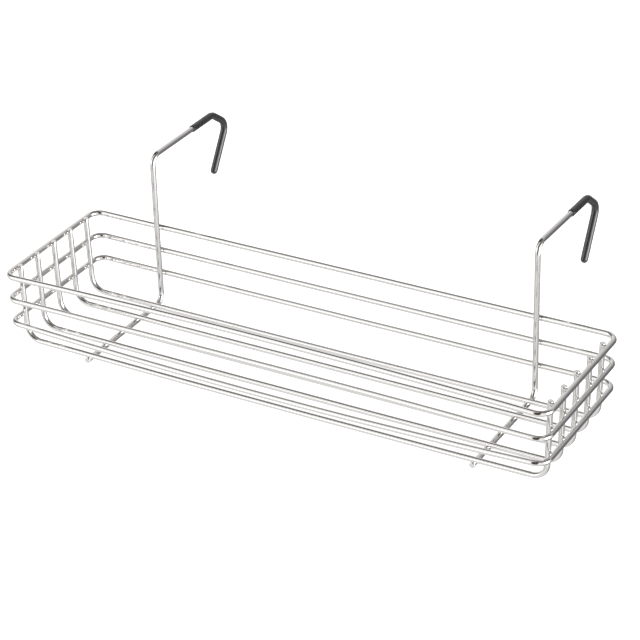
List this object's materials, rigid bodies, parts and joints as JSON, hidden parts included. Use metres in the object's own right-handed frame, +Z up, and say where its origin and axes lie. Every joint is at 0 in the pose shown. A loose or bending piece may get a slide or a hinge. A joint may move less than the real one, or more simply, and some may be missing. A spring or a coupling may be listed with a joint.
{
  "type": "hanging shower caddy",
  "caption": "Long shallow wire basket with rounded rings, upturned floor wires and sleeved back hooks that hang it over a rail or edge.",
  "frame": {"origin": "on the surface that the caddy stands on, under the middle of its overall length and depth", "axes": "+X along the basket's length, +Y from the basket towards its hooks, +Z up"},
  "size_m": [0.414, 0.2064, 0.1193],
  "materials": {
    "bright_wire": "bright polished, mirror-like drawn wire",
    "black_vinyl": "soft black vinyl tube, semi-gloss"
  },
  "bodies": {
    "root": {"rim_ring": "bright_wire", "middle_ring": "bright_wire", "lower_ring": "bright_wire", "floor_wire_1": "bright_wire", "floor_wire_2": "bright_wire", "floor_wire_3": "bright_wire", "floor_wire_4": "bright_wire", "floor_wire_5": "bright_wire", "hook_wire_left": "bright_wire", "hook_wire_right": "bright_wire", "hook_sleeve_left": "black_vinyl", "hook_sleeve_right": "black_vinyl"}
  },
  "joints": []
}
